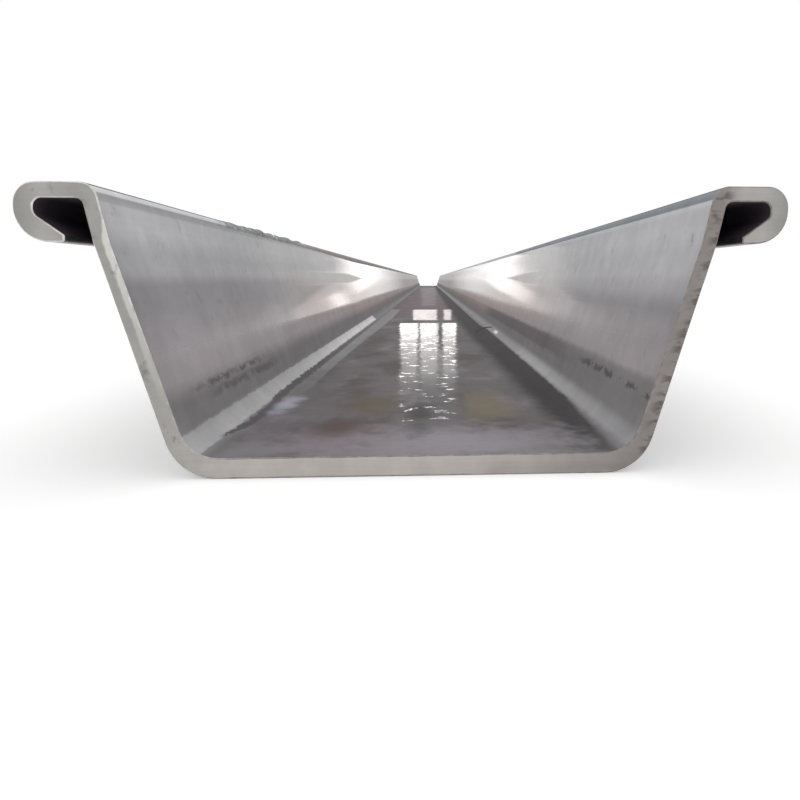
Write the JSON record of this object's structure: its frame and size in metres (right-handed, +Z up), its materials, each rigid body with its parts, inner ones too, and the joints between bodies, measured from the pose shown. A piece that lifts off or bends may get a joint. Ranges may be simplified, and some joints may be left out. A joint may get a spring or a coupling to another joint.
{
  "type": "steel sheet pile",
  "caption": "Long U-shaped rolled steel sheet pile with a flat floor, sloping webs and interlocking hooks along both edges, for retaining walls and cofferdams.",
  "frame": {"origin": "centre of the bounding box, on the underside of the floor", "axes": "+X across the section, +Y along the pile, +Z up out of the trough"},
  "size_m": [0.5478, 12, 0.21],
  "materials": {
    "steel": "bare rolled steel, satin, oily in the trough"
  },
  "bodies": {
    "root": {"sheet_pile": "steel"}
  },
  "joints": []
}
